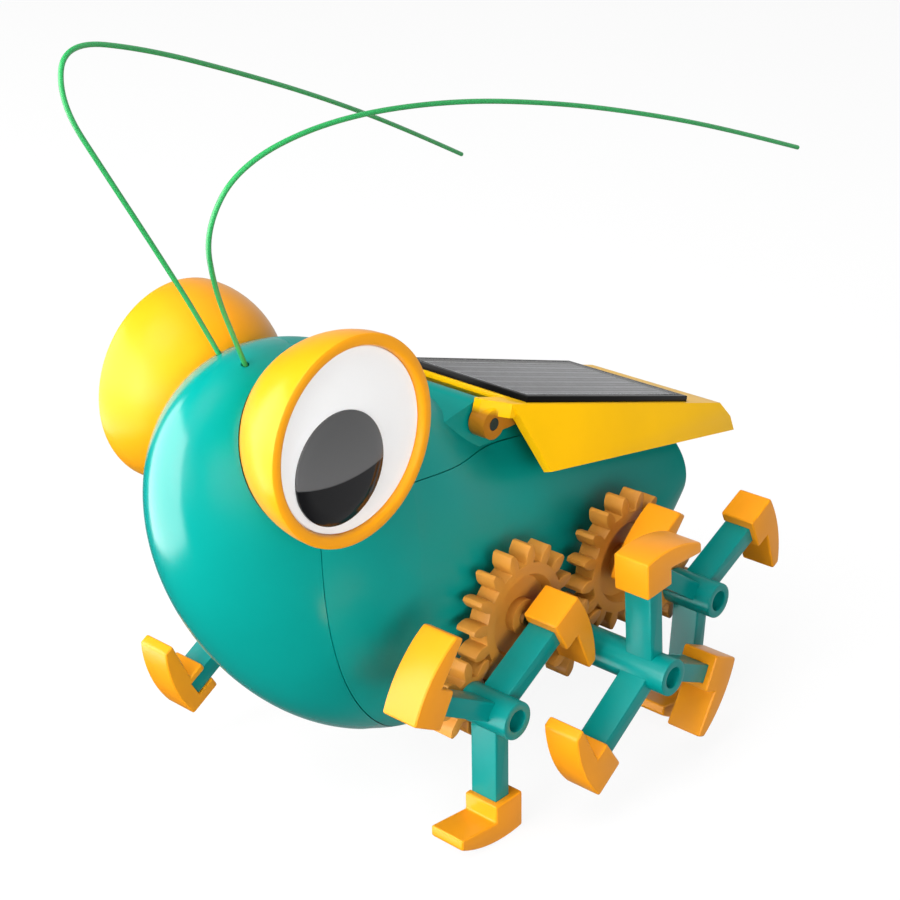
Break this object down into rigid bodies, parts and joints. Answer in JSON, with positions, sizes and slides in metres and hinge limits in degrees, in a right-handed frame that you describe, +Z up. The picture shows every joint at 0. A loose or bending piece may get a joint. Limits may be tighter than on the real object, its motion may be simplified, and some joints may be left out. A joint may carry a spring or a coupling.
{
  "type": "solar walking bug robot kit",
  "caption": "Small solar-powered walking bug with an egg-shaped body, bulging eyes, wire antennae, geared leg wheels and a solar panel on a hinged wing.",
  "frame": {"origin": "on the ground under the middle of the bug's overall box", "axes": "+Z up, the bug faces -Y, +X is the bug's left side; the axles lie along X"},
  "size_m": [0.067, 0.0969, 0.098],
  "materials": {
    "teal_body": "satin",
    "teal_leg": "satin",
    "amber": "satin",
    "orange_gear": "satin",
    "amber_foot": "satin",
    "white_eye": "gloss",
    "black_pupil": "gloss",
    "green_wire": "satin",
    "black_tray": "satin",
    "silicon": "satin",
    "clear_window": "gloss",
    "steel": "brushed",
    "natural_plastic": "satin",
    "motor_steel": "brushed",
    "motor_cap": "matte",
    "brass": "satin"
  },
  "bodies": {
    "chassis": {"head_shell": "teal_body", "lower_shell": "teal_body", "back_shell": "teal_body", "eye_cup_left": "amber", "eye_cup_right": "amber", "eye_disc_left": "white_eye", "eye_disc_right": "white_eye", "pupil_left": "black_pupil", "pupil_right": "black_pupil", "antenna_left": "green_wire", "antenna_right": "green_wire", "gearbox_plate_left": "natural_plastic", "gearbox_plate_right": "natural_plastic", "gearbox_spacers": "natural_plastic", "gearbox_screws": "steel", "gearbox_posts": "natural_plastic", "axle_bushes": "natural_plastic", "compound_pin": "steel", "motor_mount": "natural_plastic", "motor_can": "motor_steel", "motor_end_cap": "motor_cap", "motor_terminals": "brass", "wing_hinge_pins": "steel"},
    "legs_front": {"leg_axle_front": "steel", "leg_pinion_front_left": "orange_gear", "leg_pinion_front_right": "orange_gear", "leg_spider_front_left": "teal_leg", "leg_spider_front_right": "teal_leg", "feet_front_left": "amber_foot", "feet_front_right": "amber_foot"},
    "legs_middle": {"leg_axle_middle": "steel", "leg_pinion_middle_left": "orange_gear", "leg_pinion_middle_right": "orange_gear", "leg_spider_middle_left": "teal_leg", "leg_spider_middle_right": "teal_leg", "feet_middle_left": "amber_foot", "feet_middle_right": "amber_foot"},
    "legs_rear": {"leg_axle_rear": "steel", "leg_pinion_rear_left": "orange_gear", "leg_pinion_rear_right": "orange_gear", "leg_spider_rear_left": "teal_leg", "leg_spider_rear_right": "teal_leg", "feet_rear_left": "amber_foot", "feet_rear_right": "amber_foot"},
    "idlers_front": {"idler_axle_front": "steel", "idler_gear_front_left": "orange_gear", "idler_gear_front_right": "orange_gear", "drive_gear": "natural_plastic"},
    "idlers_rear": {"idler_axle_rear": "steel", "idler_gear_rear_left": "orange_gear", "idler_gear_rear_right": "orange_gear"},
    "compound": {"compound_gear": "natural_plastic"},
    "motor_rotor": {"motor_armature": "steel", "motor_pinion": "brass"},
    "wing": {"wing_frame": "amber", "solar_tray": "black_tray", "solar_cell": "silicon", "solar_window": "clear_window"}
  },
  "joints": [
    {"name": "middle_legs_turn", "type": "hinge", "parent": "chassis", "child": "legs_middle", "pos_m": [0, 0.00641, 0.01725], "axis": [1, 0, 0], "continuous": true},
    {"name": "front_legs_turn", "type": "hinge", "parent": "chassis", "child": "legs_front", "pos_m": [0, -0.0146, 0.01725], "axis": [1, 0, 0], "continuous": true},
    {"name": "rear_legs_turn", "type": "hinge", "parent": "chassis", "child": "legs_rear", "pos_m": [0, 0.02741, 0.01725], "axis": [1, 0, 0], "continuous": true},
    {"name": "front_idlers_turn", "type": "hinge", "parent": "chassis", "child": "idlers_front", "pos_m": [0, -0.0041, 0.02443], "axis": [1, 0, 0], "continuous": true},
    {"name": "rear_idlers_turn", "type": "hinge", "parent": "chassis", "child": "idlers_rear", "pos_m": [0, 0.01691, 0.02443], "axis": [1, 0, 0], "continuous": true},
    {"name": "compound_turn", "type": "hinge", "parent": "chassis", "child": "compound", "pos_m": [0, 0.00504, 0.02849], "axis": [1, 0, 0], "continuous": true},
    {"name": "motor_turn", "type": "hinge", "parent": "chassis", "child": "motor_rotor", "pos_m": [0, -0.00156, 0.03533], "axis": [1, 0, 0], "continuous": true},
    {"name": "wing_tilt", "type": "hinge", "parent": "chassis", "child": "wing", "pos_m": [0, -0.0016, 0.0476], "axis": [1, 0, 0], "range_deg": [0, 60]}
  ],
  "couplings": [
    {"joint": "front_legs_turn", "follows": "middle_legs_turn", "ratio": 1},
    {"joint": "rear_legs_turn", "follows": "middle_legs_turn", "ratio": 1},
    {"joint": "front_idlers_turn", "follows": "middle_legs_turn", "ratio": -0.5},
    {"joint": "rear_idlers_turn", "follows": "middle_legs_turn", "ratio": -0.5},
    {"joint": "compound_turn", "follows": "middle_legs_turn", "ratio": 2},
    {"joint": "motor_turn", "follows": "middle_legs_turn", "ratio": -7.5}
  ]
}
